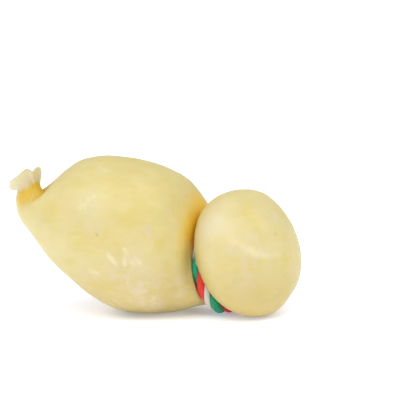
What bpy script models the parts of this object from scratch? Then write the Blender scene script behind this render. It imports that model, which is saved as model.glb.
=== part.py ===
"""Small provolone of two lobes, with a thick twisted cord tied round the neck between them.

Metres, +Z up. The cheese lies on Z = 0 on two flat spots, its length along X, its tail with the
pinched nub at -X, and its flattened head at +X, turned towards -Y. Lengths below are in millimetres.
"""

import math

import bmesh
import bpy
import numpy as np
from mathutils import Matrix, Vector

MM = 0.001
MIDDLE_X = 0.92  # the lengths below put the middle of the cheese here, and the origin goes under it

# A station is a round section of the cheese: its centre, its radius, and where its axis heads on the
# way from the nub to the head, as degrees turned towards -Y and degrees climbed. The nub's have the
# share that they take of the lip's wave as well.
#   name            x      y     z    radius  turn  climb  wave
NUB_STATIONS = (
    ("mouth floor", -64.2, -1.4, 66.4, 0.0, 8.0, -53.0, 0.0),
    ("mouth", -64.3, -1.4, 66.8, 2.6, 8.0, -53.0, 0.1),
    ("mouth wall", -64.7, -1.4, 68.4, 5.5, 8.0, -53.0, 0.5),
    ("lip inside", -64.9, -1.4, 69.2, 7.8, 8.0, -53.0, 0.9),
    ("lip crest", -64.8, -1.4, 69.4, 9.0, 8.0, -53.0, 1.0),
    ("lip edge", -64.9, -1.4, 68.2, 8.75, 8.0, -54.0, 1.0),
    ("lip underside", -64.3, -1.6, 65.9, 7.6, 8.0, -61.0, 0.8),
    ("upper throat", -62.9, -2.0, 64.4, 6.0, 2.0, -70.0, 0.3),
    ("throat", -62.5, -2.6, 62.1, 6.4, -8.0, -73.0, 0.05),
    ("throat root", -62.0, -3.2, 59.9, 7.3, -22.0, -74.0, 0.0),
)
BODY_STATIONS = (
    ("tail tip", -61.4, -3.4, 58.5, 8.0, -14.0, -66.0),
    ("tail", -57.6, -3.4, 58.3, 13.6, 0.0, -42.0),
    ("tail root", -51.6, -3.4, 56.9, 19.2, 0.0, -29.0),
    ("cone", -44.1, -2.4, 52.4, 26.0, 0.0, -17.0),
    ("upper belly", -35.2, -1.9, 48.8, 31.2, 0.0, -13.0),
    ("belly", -25.5, -1.4, 44.4, 35.4, 0.0, -10.0),
    ("widest", -11.3, -0.4, 39.4, 38.0, 2.0, -10.0),
    ("lower belly", 2.2, 1.6, 35.9, 36.9, 6.0, -8.0),
    ("shoulder", 13.2, 3.6, 32.9, 33.6, 13.0, -5.0),
    ("shoulder end", 22.6, 1.8, 29.2, 26.3, 22.0, 0.0),
    ("groove edge", 28.4, 0.2, 23.8, 19.3, 31.0, 9.0),
)
HEAD_CENTRE = Vector((46.8, -5.4, 31.0))
HEAD_TURN, HEAD_CLIMB = 34.8, 20.5
HEAD_RADIUS = 32.4
HEAD_HALF_THICKNESS = 22.8
# Where the head is fuller or slimmer than that: middle, radius, height.
HEAD_SWELLS = (
    ((25.0, -6.0, 52.5), 9.0, 0.85),
    ((56.0, 3.5, 58.5), 8.5, 0.95),
    ((49.0, 1.0, 61.5), 6.0, 0.3),
    ((67.5, -5.0, 7.5), 8.0, -0.85),
    ((21.5, -19.0, 26.0), 6.0, -0.5),
)
HEAD_START = -15.5  # the head's own form begins here, along its axis from its centre

# How far the nub's lip stands up, by degrees round it from its drooping corner. The far side is lower.
LIP_RISE = (
    (0, -0.6), (21, 0.3), (46, 1.7), (78, 2.0), (102, 2.1), (118, 1.8), (125, 1.3), (131, -1.2),
    (149, -0.6), (165, -0.6), (180, -1.1),
)
LIP_FAR_DROP = 3.0
LIP_EDGE = 5  # the station at the lip's widest

CORD_RADIUS = 3.4
CORD_GAP = 0.4  # between the cord and the cheese it is pressed into
TIE_CENTRE = Vector((32.5, -1.0, 21.1))
TIE_TURN, TIE_CLIMB = 32.0, 15.0
TIE_RADIUS = 18.2
NECK_RADIUS = TIE_RADIUS - CORD_RADIUS - 0.2
NECK_HALF_LENGTH = 1.8
# The shoulder leans on the cord: distance from the neck's axis, place along it.
SHOULDER_WALL = ((14.4, -2.0), (18.0, -1.0), (21.5, -1.9), (24.0, -3.8), (27.0, -6.3), (31.0, -9.8))
WALL_MIDDLE, WALL_HALF_WIDTH = 0.15, 0.9  # radians round the neck
WALL_SOFTNESS = 0.8
KNOT_AT = math.radians(168.0)  # round the neck, from its side nearest -Y
KNOT_SPREAD = 4.0  # from the knot's core to the middle of each strand
KNOT_LAY = 18.0  # length of one full turn of the two strands round each other
KNOT_LEAN = -1.5  # along the neck, the knot sits a little towards the body
TAIL_LENGTH = 12.0
TAIL_BEND = 0.03

SIDES = 48
NUB_RINGS = 13
BODY_RINGS = 30
SHOULDER_RINGS = 6  # the body's last rings, which lean on the cord more and more
NECK_RINGS = 2
HEAD_RINGS = 16
CORD_SIDES = 10
CORD_STEP = 2.6  # between two of the cord's sections


def heading(turn, climb):
    """The unit vector of an axis that starts along +X, turned towards -Y and then climbing."""
    t, c = math.radians(turn), math.radians(climb)
    return Vector((math.cos(c) * math.cos(t), -math.cos(c) * math.sin(t), math.sin(c)))


def spline(values, at):
    """The smooth curve through evenly numbered values, read at a fractional place."""
    last = len(values) - 1
    i = min(int(at), last - 1)
    t = at - i
    p = [values[min(max(i + k, 0), last)] for k in (-1, 0, 1, 2)]
    return 0.5 * (
        2 * p[1]
        + (p[2] - p[0]) * t
        + (2 * p[0] - 5 * p[1] + 4 * p[2] - p[3]) * t * t
        + (3 * p[1] - p[0] - 3 * p[2] + p[3]) * t ** 3
    )


def station_sections(stations, rings):
    """Sections (centre, axis, radius) along the smooth form through the stations."""
    columns = list(zip(*[station[1:7] for station in stations]))
    sections = []
    for k in range(rings):
        at = k / (rings - 1) * (len(stations) - 1)
        x, y, z, radius, turn, climb = (spline(column, at) for column in columns)
        sections.append((Vector((x, y, z)), heading(turn, climb), max(radius, 0.0)))
    return sections


def neck_sections():
    """The neck's two sections, either side of the cord's middle line."""
    axis = heading(TIE_TURN, TIE_CLIMB)
    return [(TIE_CENTRE + axis * along, axis, NECK_RADIUS) for along in (-NECK_HALF_LENGTH, NECK_HALF_LENGTH)]


def head_sections():
    """Sections of the head, a flattened ball, from behind its rim to its tip."""
    axis = heading(HEAD_TURN, HEAD_CLIMB)
    start = math.acos(-HEAD_START / HEAD_HALF_THICKNESS)
    sections = []
    for k in range(HEAD_RINGS):
        a = start + (math.pi - start) * k / (HEAD_RINGS - 1)
        along = -HEAD_HALF_THICKNESS * math.cos(a)
        sections.append((HEAD_CENTRE + axis * along, axis, HEAD_RADIUS * math.sin(a)))
    return sections


def sections_along(path, radius):
    """Sections of one radius, square to a path of points."""
    sections = []
    for k, point in enumerate(path):
        before, after = path[max(k - 1, 0)], path[min(k + 1, len(path) - 1)]
        sections.append((point, (after - before).normalized(), radius))
    return sections


def around_neck(angle, radius, along=0.0):
    """A point by its angle round the neck, its distance from the neck's axis and its place along it."""
    axis = heading(TIE_TURN, TIE_CLIMB)
    near = axis.cross(Vector((0, 0, 1))).normalized()
    up = near.cross(axis)
    lean = KNOT_LEAN * (0.5 + 0.5 * math.cos(angle - KNOT_AT)) ** 4
    return TIE_CENTRE + (near * math.cos(angle) + up * math.sin(angle)) * radius + axis * (along + lean)


def strand(side, count=60):
    """A strand of the half knot, from the neck turn, round the other strand, to where its tail starts."""
    start, end = -0.75 * KNOT_LAY, 0.5 * KNOT_LAY
    places = []
    for k in range(count + 1):
        reach = start + (end - start) * k / count
        turned = 2 * math.pi * (reach - start) / KNOT_LAY
        angle = KNOT_AT + side * reach / (TIE_RADIUS + KNOT_SPREAD)
        radius = TIE_RADIUS + KNOT_SPREAD * (1.0 - math.cos(turned))
        places.append(around_neck(angle, radius, side * KNOT_SPREAD * math.sin(turned)))
    return places


def tail(run, count=8):
    """The short end that a strand leaves the knot with, bent a little away from the neck."""
    onward = (run[-1] - run[-2]).normalized()
    outward = (run[-1] - TIE_CENTRE).normalized()
    places = []
    for k in range(1, count + 1):
        reach = TAIL_LENGTH * k / count
        places.append(run[-1] + onward * reach + outward * TAIL_BEND * reach ** 2)
    return places


def cord_route(count=240):
    """The cord's middle line from one cut end to the other: tail, knot, neck turn, knot, tail."""
    first, second = strand(-1), strand(1)
    for run in (first, second):
        run.extend(tail(run))
    half_gap = 0.75 * KNOT_LAY / (TIE_RADIUS + KNOT_SPREAD)
    turn = 2 * (math.pi - half_gap)
    ring = [around_neck(KNOT_AT + half_gap + turn * k / count, TIE_RADIUS) for k in range(1, count)]
    return first[::-1] + ring + second


def evenly(route, step):
    """Points spaced evenly along a route, about a step apart, with both its ends."""
    lengths = [0.0]
    for one, two in zip(route, route[1:]):
        lengths.append(lengths[-1] + (two - one).length)
    count = round(lengths[-1] / step)
    points, i = [], 0
    for k in range(count + 1):
        wanted = lengths[-1] * k / count
        while i < len(route) - 2 and lengths[i + 1] < wanted:
            i += 1
        share = (wanted - lengths[i]) / (lengths[i + 1] - lengths[i])
        points.append(route[i].lerp(route[i + 1], share))
    return points


def loft(name, sections, sides):
    """A closed skin through round sections. A first or last section of no radius is a pole."""
    made = bmesh.new()
    side = sections[0][1].orthogonal()
    loops = []
    for centre, axis, radius in sections:
        side = (side - axis * side.dot(axis)).normalized()
        up = axis.cross(side)
        if radius < 1e-6:
            loops.append([made.verts.new(centre * MM)])
            continue
        angles = [2 * math.pi * k / sides for k in range(sides)]
        rims = [centre + (side * math.cos(a) + up * math.sin(a)) * radius for a in angles]
        loops.append([made.verts.new(rim * MM) for rim in rims])
    for one, two in zip(loops, loops[1:]):
        for k in range(sides):
            corners = [one[k % len(one)], one[(k + 1) % len(one)], two[(k + 1) % len(two)], two[k % len(two)]]
            made.faces.new(dict.fromkeys(corners))
    for loop in (loops[0], loops[-1]):
        if len(loop) > 1:
            made.faces.new(loop)
    bmesh.ops.recalc_face_normals(made, faces=made.faces)
    mesh = bpy.data.meshes.new(name)
    made.to_mesh(mesh)
    made.free()
    piece = bpy.data.objects.new(name, mesh)
    bpy.context.scene.collection.objects.link(piece)
    return piece


def material(name, colour, roughness):
    """A plain Principled material."""
    made = bpy.data.materials.new(name)
    made.use_nodes = True
    shader = made.node_tree.nodes["Principled BSDF"]
    shader.inputs["Base Color"].default_value = (*colour, 1.0)
    shader.inputs["Roughness"].default_value = roughness
    return made


def ring_vertices(piece, first, last):
    """The vertices of some rings of the cheese's skin, counted from the pole in the nub's mouth."""
    return piece.data.vertices[1 + (first - 1) * SIDES : 1 + (last - 1) * SIDES]


def lip_rise(angle):
    """How far the nub's lip stands out of true at an angle round it."""
    turned = math.degrees(abs(angle))
    rise = float(np.interp(turned, *zip(*LIP_RISE)))
    if angle < 0:
        rise -= LIP_FAR_DROP * math.sin(math.radians(turned)) ** 2
    return rise


def wave_lip(piece):
    """Lets the nub's lip rise and fall along its axis."""
    x, y, z, _, turn, climb, _ = NUB_STATIONS[LIP_EDGE][1:]
    out = -heading(turn, climb)
    droop = out.cross(Vector((0, 1, 0))).normalized()
    near = out.cross(droop)
    waves = [station[7] for station in NUB_STATIONS]
    for ring in range(1, NUB_RINGS):
        wave = spline(waves, ring / (NUB_RINGS - 1) * (len(waves) - 1))
        for vertex in ring_vertices(piece, ring, ring + 1):
            away = vertex.co / MM - Vector((x, y, z))
            vertex.co += out * wave * lip_rise(math.atan2(away.dot(near), away.dot(droop))) * MM


def swell_head(piece):
    """Raises and lowers the head's soft unevenness."""
    first = NUB_RINGS + BODY_RINGS + NECK_RINGS
    for vertex in ring_vertices(piece, first, first + HEAD_RINGS - 1):
        place = vertex.co / MM
        outward = (place - HEAD_CENTRE).normalized()
        for middle, radius, height in HEAD_SWELLS:
            apart = (place - Vector(middle)).length / radius
            vertex.co += outward * height * math.exp(-(apart ** 2)) * MM


def lean_on_cord(piece):
    """Brings the shoulder up against the cord, on the near side."""
    axis = heading(TIE_TURN, TIE_CLIMB)
    near = axis.cross(Vector((0, 0, 1))).normalized()
    up = near.cross(axis)
    first = NUB_RINGS + BODY_RINGS - SHOULDER_RINGS
    for k in range(SHOULDER_RINGS):
        share = min((k + 1) / (SHOULDER_RINGS - 2), 1.0)
        for vertex in ring_vertices(piece, first + k, first + k + 1):
            away = vertex.co / MM - TIE_CENTRE
            beside, above = away.dot(near), away.dot(up)
            wall = np.interp(math.hypot(beside, above), *zip(*SHOULDER_WALL), right=-99.0)
            turned = abs(math.atan2(above, beside) - WALL_MIDDLE) / WALL_HALF_WIDTH
            short = (wall - away.dot(axis)) / WALL_SOFTNESS
            lift = WALL_SOFTNESS * float(np.logaddexp(0.0, short)) * math.exp(-(turned ** 4))
            vertex.co += axis * share * share * lift * MM


def flatten_foot(piece):
    """Cuts off what would be below the ground, so that the piece rests on flat spots."""
    work = bmesh.new()
    work.from_mesh(piece.data)
    everything = work.verts[:] + work.edges[:] + work.faces[:]
    bmesh.ops.bisect_plane(work, geom=everything, plane_no=(0, 0, 1), clear_inner=True, dist=1e-6)
    bmesh.ops.holes_fill(work, edges=[edge for edge in work.edges if edge.is_boundary])
    bmesh.ops.recalc_face_normals(work, faces=work.faces)
    work.to_mesh(piece.data)
    work.free()


def cut(piece, cutter):
    """Takes the cutter's shape out of the piece."""
    cutter.hide_render = True
    cutter.display_type = "WIRE"
    modifier = piece.modifiers.new(cutter.name, "BOOLEAN")
    modifier.operation = "DIFFERENCE"
    modifier.object = cutter


def neck_channel():
    """Cutter for the groove that the cord presses into the neck, open where the knot is."""
    half_gap = 0.4 * KNOT_LAY / TIE_RADIUS
    turn = 2 * (math.pi - half_gap)
    count = round(turn * TIE_RADIUS / CORD_STEP)
    path = [around_neck(KNOT_AT + half_gap + turn * k / count, TIE_RADIUS) for k in range(count + 1)]
    return loft("neck_channel", sections_along(path, CORD_RADIUS + CORD_GAP), CORD_SIDES + 4)


def knot_hollow(rings=14):
    """Cutter for the hollow that the knot lies in, a bent lens round the knot's core."""
    half = 1.15 * KNOT_LAY
    core = TIE_RADIUS + KNOT_SPREAD
    bends = [-math.cos(math.pi * k / rings) for k in range(rings + 1)]
    path = [around_neck(KNOT_AT + half * bend / core, core) for bend in bends]
    full = KNOT_SPREAD + CORD_RADIUS + CORD_GAP
    sections = []
    for bend, (point, axis, _) in zip(bends, sections_along(path, 0.0)):
        sections.append((point, axis, full * math.sqrt(1.0 - bend ** 6)))
    return loft("knot_hollow", sections, 2 * CORD_SIDES)


def tail_hollow(name, side):
    """Cutter for the dent that one of the cord's ends presses into the cheese beside it."""
    run = strand(side)
    path = evenly(run[-12:] + tail(run), CORD_STEP)
    return loft(name, sections_along(path, CORD_RADIUS + CORD_GAP), CORD_SIDES + 4)


def make_cheese():
    """The cheese: nub, body, neck and head in one skin, with flat feet and the cord's groove."""
    nub = station_sections(NUB_STATIONS, NUB_RINGS)
    body = station_sections(BODY_STATIONS, BODY_RINGS)
    cheese = loft("cheese", nub + body + neck_sections() + head_sections(), SIDES)
    wave_lip(cheese)
    swell_head(cheese)
    lean_on_cord(cheese)
    flatten_foot(cheese)
    cheese.data.materials.append(material("cheese", (0.82, 0.68, 0.34), 0.45))
    cut(cheese, neck_channel())
    cut(cheese, knot_hollow())
    cut(cheese, tail_hollow("upper_tail_hollow", -1))
    cut(cheese, tail_hollow("lower_tail_hollow", 1))
    cheese.data.shade_smooth()


def make_tie():
    """The twisted cord as one whole tube, from cut end to cut end."""
    path = evenly(cord_route(), CORD_STEP)
    tie = loft("tie_cord", sections_along(path, CORD_RADIUS), CORD_SIDES)
    tie.data.materials.append(material("tie_cord", (0.62, 0.25, 0.18), 0.8))
    tie.data.shade_smooth()


def main():
    for old in list(bpy.data.objects):
        bpy.data.objects.remove(old)
    make_cheese()
    make_tie()
    for piece in bpy.data.objects:
        piece.data.transform(Matrix.Translation((-MIDDLE_X * MM, 0.0, 0.0)))


main()
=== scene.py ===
"""The looks of a small tied provolone: its waxy skin, its pinched nub and its three-colour cord.

Metres, +Z up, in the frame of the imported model. Lengths in the tables below are in millimetres.
"""

import math

import bpy
import numpy as np
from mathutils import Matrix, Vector


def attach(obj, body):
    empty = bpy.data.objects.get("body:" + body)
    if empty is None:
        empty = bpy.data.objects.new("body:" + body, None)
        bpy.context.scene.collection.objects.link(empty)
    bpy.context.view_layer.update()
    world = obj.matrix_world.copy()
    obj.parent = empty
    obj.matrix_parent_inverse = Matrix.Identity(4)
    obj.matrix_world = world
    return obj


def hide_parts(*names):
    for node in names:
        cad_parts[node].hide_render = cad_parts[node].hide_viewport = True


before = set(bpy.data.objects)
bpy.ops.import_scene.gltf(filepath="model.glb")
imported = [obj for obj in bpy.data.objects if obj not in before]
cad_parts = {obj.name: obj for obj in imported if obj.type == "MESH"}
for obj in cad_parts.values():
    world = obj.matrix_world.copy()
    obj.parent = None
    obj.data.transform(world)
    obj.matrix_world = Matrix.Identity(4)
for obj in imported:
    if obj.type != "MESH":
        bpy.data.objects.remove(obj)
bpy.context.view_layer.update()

MM = 0.001
MIDDLE_X = 0.92  # the lengths below put the middle of the cheese here, and the origin goes under it

# A station is a round section of the cheese: its centre, its radius, and where its axis heads on the
# way from the nub to the head, as degrees turned towards -Y and degrees climbed. The nub's have the
# share that they take of the lip's wave as well.
#   name            x      y     z    radius  turn  climb  wave
NUB_STATIONS = (
    ("mouth floor", -64.2, -1.4, 66.4, 0.0, 8.0, -53.0, 0.0),
    ("mouth", -64.3, -1.4, 66.8, 2.6, 8.0, -53.0, 0.1),
    ("mouth wall", -64.7, -1.4, 68.4, 5.5, 8.0, -53.0, 0.5),
    ("lip inside", -64.9, -1.4, 69.2, 7.8, 8.0, -53.0, 0.9),
    ("lip crest", -64.8, -1.4, 69.4, 9.0, 8.0, -53.0, 1.0),
    ("lip edge", -64.9, -1.4, 68.2, 8.75, 8.0, -54.0, 1.0),
    ("lip underside", -64.3, -1.6, 65.9, 7.6, 8.0, -61.0, 0.8),
    ("upper throat", -62.9, -2.0, 64.4, 6.0, 2.0, -70.0, 0.3),
    ("throat", -62.5, -2.6, 62.1, 6.4, -8.0, -73.0, 0.05),
    ("throat root", -62.0, -3.2, 59.9, 7.3, -22.0, -74.0, 0.0),
)
BODY_STATIONS = (
    ("tail tip", -61.4, -3.4, 58.5, 8.0, -14.0, -66.0),
    ("tail", -57.6, -3.4, 58.3, 13.6, 0.0, -42.0),
    ("tail root", -51.6, -3.4, 56.9, 19.2, 0.0, -29.0),
    ("cone", -44.1, -2.4, 52.4, 26.0, 0.0, -17.0),
    ("upper belly", -35.2, -1.9, 48.8, 31.2, 0.0, -13.0),
    ("belly", -25.5, -1.4, 44.4, 35.4, 0.0, -10.0),
    ("widest", -11.3, -0.4, 39.4, 38.0, 2.0, -10.0),
    ("lower belly", 2.2, 1.6, 35.9, 36.9, 6.0, -8.0),
    ("shoulder", 13.2, 3.6, 32.9, 33.6, 13.0, -5.0),
    ("shoulder end", 22.6, 1.8, 29.2, 26.3, 22.0, 0.0),
    ("groove edge", 28.4, 0.2, 23.8, 19.3, 31.0, 9.0),
)
LIP_TURN, LIP_CLIMB = 8.0, -54.0  # the lip's own axis, as at its edge

HEAD_CENTRE = Vector((46.8, -5.4, 31.0))
HEAD_TURN, HEAD_CLIMB = 34.8, 20.5
HEAD_RADIUS = 32.4
HEAD_HALF_THICKNESS = 22.8
# Where the head is fuller or slimmer than that: middle, radius, height.
HEAD_SWELLS = (
    ((25.0, -6.0, 52.5), 9.0, 0.85),
    ((56.0, 3.5, 58.5), 8.5, 0.95),
    ((49.0, 1.0, 61.5), 6.0, 0.3),
    ((67.5, -5.0, 7.5), 8.0, -0.85),
    ((21.5, -19.0, 26.0), 6.0, -0.5),
)
HEAD_START = -15.5  # the head's own form begins here, along its axis from its centre

# A place along the skin is counted in stations from the mouth floor. Each run of the form starts at one.
BODY_FIRST = len(NUB_STATIONS)
NECK_FIRST = BODY_FIRST + len(BODY_STATIONS)
HEAD_FIRST = NECK_FIRST + 3
HEAD_PLACES = 4

# How far the nub's lip stands up, by degrees round it from its drooping corner. The far side is lower.
LIP_RISE = ((0, -0.6), (21, 0.3), (46, 1.7), (78, 2.0), (102, 2.1), (118, 1.8), (125, 1.3), (131, -1.2),
            (149, -0.6), (165, -0.6), (180, -1.1))
LIP_FAR_DROP = 3.0
FAR_DROP_STARTS, FAR_DROP_ENDS = (0.0, 60.0), (140.0, 180.0)  # degrees round the lip
LIP_RIPPLES = ((0.18, 3, 0.5), (0.1, 7, 1.0))  # height, how many round the lip, and where they start

CORD_RADIUS = 3.4
CORD_GAP = -0.9  # the cord lies this deep in the skin, so that its strands close the groove
TIE_CENTRE = Vector((32.5, -1.0, 21.1))
TIE_TURN, TIE_CLIMB = 32.0, 15.0
TIE_RADIUS = 18.35
NECK_RADIUS = TIE_RADIUS - CORD_RADIUS - 0.2
NECK_HALF_LENGTH = 1.8
# The shoulder's wall beside the cord, on the near side: distance from the neck's axis, and place along it.
SHOULDER_WALL = ((14.4, -2.0), (18.0, -1.0), (21.5, -1.9), (24.0, -3.8), (27.0, -6.3), (31.0, -9.8))
WALL_MIDDLE, WALL_HALF_WIDTH = 0.15, 0.9  # radians round the neck
KNOT_AT = math.radians(168.0)
KNOT_SPREAD = 4.0
KNOT_LAY = 18.0
KNOT_LEAN = -1.5
KNOT_BEFORE, KNOT_AFTER = 0.75, 0.5  # what a run takes of the lay before the knot's middle and after it
KNOT_HOLLOW = 1.15  # half the length of the knot's hollow, in lays
# How softly the skin turns into the knot's hollow, into the groove, and into it once more at the end.
HOLLOW_SOFT, GROOVE_SOFT, FINAL_SOFT = 0.5, 0.25, 0.1
TAIL_LENGTH = 12.0
TAIL_BEND = 0.03
CORD_START = 144.0  # how far the strands are turned at the cord's first end
# Strands: turn round the cord, offset from its middle, half depth, half width, and two colours: their own,
# and a darker copy of it that paints shade between the threads.
STRANDS = (
    ("white_strand", 0.0, 2.3, 1.1, 1.4, (226, 217, 206), (178, 167, 153)),
    ("green_strand", 112.0, 1.25, 2.12, 2.2, (2, 166, 118), (2, 92, 66)),
    ("red_strand", 266.0, 1.5, 1.9, 2.05, (240, 58, 34), (158, 28, 20)),
)

# How the fibres of a frayed end stand: bend and knee as shares of their length, swing in radians, and size.
FIBRE_BEND, FIBRE_KNEE = 0.3, 0.6
FIBRE_SWING = ((-0.5, -0.5, -3.1), (0.5, 0.5, 3.1))
FIBRE_SIZES = (0.4, 1.1)

SIDES = 248
DENSE = 300  # sections worked out along each run before the skin's rings are spaced evenly
# Places along the skin, and the rings' spacing there.
RING_SPACING = ((0.0, 0.35), (9.0, 0.4), (12.0, 0.8), (18.0, 0.95), (20.0, 0.5), (24.0, 0.5), (25.0, 0.9))

# Stretches of the skin: the places where each begins, is full, starts to fade and is gone.
LIP_INSIDE = (2.6, 3.4, 4.5, 5.4)
PLEATED_THROAT = (5.6, 7.2, 9.5, 10.8)
NUB_JOINT = (8.6, 9.2, 10.2, 11.0)
SHOULDER = (16.0, 17.5, 20.5, 22.0)
WALL_SIDE = (17.0, 18.5, 20.5, 22.0)
LEANING_SHOULDER = (17.8, 19.2, 20.6, 21.0)
GROOVE = (18.6, 19.8, 24.6, 25.6)
# Places over which something comes in, or goes: the lip's paleness, the throat's painted bounce gold, and so
# on.
LIP_ENDS, GOLD_STARTS, GOLD_ENDS = (6.4, 7.8), (6.4, 8.2), (9.2, 11.0)
RELIEF_STARTS, BODY_ENDS, GATHERS_START, HEAD_STARTS = (9.6, 11.0), (16.0, 19.0), (17.0, 18.5), (23.5, 24.5)

# Folds in the skin: how many there are round it, and how uneven they are.
THROAT_PLEATS = (17, 0.9)
CORD_GATHERS = (46, 1.1)
FOLD_HEIGHT = 0.1
GATHERS_REACH = 5.0  # how far from the cord they run out


# ---- the form, as in the solids

def heading(turn, climb):
    """The unit vector of an axis that starts along +X, turned towards -Y and then climbing."""
    t, c = math.radians(turn), math.radians(climb)
    return Vector((math.cos(c) * math.cos(t), -math.cos(c) * math.sin(t), math.sin(c)))


def spline(values, at):
    """The smooth curve through evenly numbered values, read at a fractional place."""
    last = len(values) - 1
    i = min(int(at), last - 1)
    t = at - i
    p = [values[min(max(i + k, 0), last)] for k in (-1, 0, 1, 2)]
    return 0.5 * (
        2 * p[1]
        + (p[2] - p[0]) * t
        + (2 * p[0] - 5 * p[1] + 4 * p[2] - p[3]) * t * t
        + (3 * p[1] - p[0] - 3 * p[2] + p[3]) * t ** 3
    )


def station_sections(stations, first, rings):
    """Sections (place, centre, axis, radius, wave) along the smooth form through the stations."""
    columns = list(zip(*[station[1:] for station in stations]))
    sections = []
    for k in range(rings):
        at = k / (rings - 1) * (len(stations) - 1)
        x, y, z, radius, turn, climb, *wave = (spline(column, at) for column in columns)
        sections.append((first + at, Vector((x, y, z)), heading(turn, climb), max(radius, 0.0), sum(wave)))
    return sections


def neck_sections(first):
    """The neck's two sections, either side of the cord's middle line."""
    axis = heading(TIE_TURN, TIE_CLIMB)
    ends = enumerate((-NECK_HALF_LENGTH, NECK_HALF_LENGTH))
    return [(first + k, TIE_CENTRE + axis * along, axis, NECK_RADIUS, 0.0) for k, along in ends]


def head_sections(first, rings):
    """Sections of the head, a flattened ball, from behind its rim to its tip."""
    axis = heading(HEAD_TURN, HEAD_CLIMB)
    start = math.acos(-HEAD_START / HEAD_HALF_THICKNESS)
    sections = []
    for k in range(rings):
        share = k / (rings - 1)
        a = start + (math.pi - start) * share
        centre = HEAD_CENTRE - axis * HEAD_HALF_THICKNESS * math.cos(a)
        sections.append((first + HEAD_PLACES * share, centre, axis, HEAD_RADIUS * math.sin(a), 0.0))
    return sections


def bridged(runs, count=40):
    """The runs of sections in one list, with even steps from each run's end to the next one's start."""
    sections = list(runs[0])
    for run in runs[1:]:
        one, two = sections[-1], run[0]
        for k in range(1, count):
            share = k / count
            mixed = [a + (b - a) * share for a, b in zip(one, two)]
            mixed[2].normalize()
            sections.append(tuple(mixed))
        sections.extend(run)
    return sections


def neck_frame():
    """The neck's axis, and the two directions square to it, towards the near side and up."""
    axis = heading(TIE_TURN, TIE_CLIMB)
    near = axis.cross(Vector((0, 0, 1))).normalized()
    return axis, near, near.cross(axis)


def around_neck(angle, radius, along=0.0):
    """A point by its angle round the neck, its distance from the neck's axis and its place along it."""
    axis, near, up = neck_frame()
    lean = KNOT_LEAN * (0.5 + 0.5 * math.cos(angle - KNOT_AT)) ** 4
    return TIE_CENTRE + (near * math.cos(angle) + up * math.sin(angle)) * radius + axis * (along + lean)


def strand_of_knot(side, count=60):
    """A run of the half knot, from the neck turn, round the other run, to where its tail starts."""
    start, end = -KNOT_BEFORE * KNOT_LAY, KNOT_AFTER * KNOT_LAY
    places = []
    for k in range(count + 1):
        reach = start + (end - start) * k / count
        turned = 2 * math.pi * (reach - start) / KNOT_LAY
        angle = KNOT_AT + side * reach / (TIE_RADIUS + KNOT_SPREAD)
        radius = TIE_RADIUS + KNOT_SPREAD * (1.0 - math.cos(turned))
        places.append(around_neck(angle, radius, side * KNOT_SPREAD * math.sin(turned)))
    return places


def tail(run, count=8):
    """The short end that a run leaves the knot with, bent a little away from the neck."""
    onward = (run[-1] - run[-2]).normalized()
    away = (run[-1] - TIE_CENTRE).normalized()
    places = []
    for k in range(1, count + 1):
        reach = TAIL_LENGTH * k / count
        places.append(run[-1] + onward * reach + away * TAIL_BEND * reach ** 2)
    return places


def cord_route(count=240):
    """The cord's middle line from one cut end to the other: tail, knot, neck turn, knot, tail."""
    first, second = strand_of_knot(-1), strand_of_knot(1)
    for run in (first, second):
        run.extend(tail(run))
    half_gap = KNOT_BEFORE * KNOT_LAY / (TIE_RADIUS + KNOT_SPREAD)
    turn = 2 * (math.pi - half_gap)
    ring = [around_neck(KNOT_AT + half_gap + turn * k / count, TIE_RADIUS) for k in range(1, count)]
    return first[::-1] + ring + second


# ---- the cheese's skin

def ramp(low, high, values):
    """0 below low, 1 above high and smooth between them."""
    t = np.clip((values - low) / (high - low), 0.0, 1.0)
    return t * t * (3.0 - 2.0 * t)


def stretch(window, places):
    """1 on a stretch of the skin, 0 off it and smooth between them."""
    begins, full, fades, gone = window
    return ramp(begins, full, places) * (1.0 - ramp(fades, gone, places))


def bell(apart, reach):
    """1 where the distance is nought, and falling smoothly to nothing well past the reach."""
    return np.exp(-((apart / reach) ** 2))


def dense_skin():
    """The skin as a close grid: places along it, ring centres, shares of the lip's wave, and points."""
    nub = station_sections(NUB_STATIONS, 0, DENSE)
    body = station_sections(BODY_STATIONS, BODY_FIRST, DENSE)
    sections = bridged([nub, body, neck_sections(NECK_FIRST), head_sections(HEAD_FIRST, DENSE)])
    side = sections[0][2].orthogonal()
    angles = np.linspace(0.0, 2 * math.pi, SIDES, endpoint=False)
    rings = []
    for _, centre, axis, radius, _ in sections:
        side = (side - axis * side.dot(axis)).normalized()
        up = axis.cross(side)
        ring = np.outer(np.cos(angles), side) + np.outer(np.sin(angles), up)
        rings.append(np.array(centre) + ring * radius)
    places = np.array([section[0] for section in sections])
    centres = np.array([section[1] for section in sections])
    waves = np.array([section[4] for section in sections])
    return places, centres, waves, np.array(rings)


def spaced_skin():
    """The same grid with its rings spaced as RING_SPACING says."""
    places, centres, waves, points = dense_skin()
    steps = np.linalg.norm(np.diff(points, axis=0), axis=2).max(axis=1)
    marks, gaps = zip(*RING_SPACING)
    middles = 0.5 * (places[1:] + places[:-1])
    counted = np.concatenate([[0.0], np.cumsum(steps / np.interp(middles, marks, gaps))])
    wanted = np.linspace(0.0, counted[-1], int(counted[-1]) + 1)
    spots = np.interp(wanted, counted, np.arange(len(places)))
    lower = np.minimum(spots.astype(int), len(places) - 2)
    share = spots - lower

    def mixed(values):
        """The values at the wanted spots, between those of the grid's rings."""
        part = share.reshape((-1,) + (1,) * (values.ndim - 1))
        return values[lower] * (1.0 - part) + values[lower + 1] * part

    return mixed(places), mixed(centres), mixed(waves), mixed(points)


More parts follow.
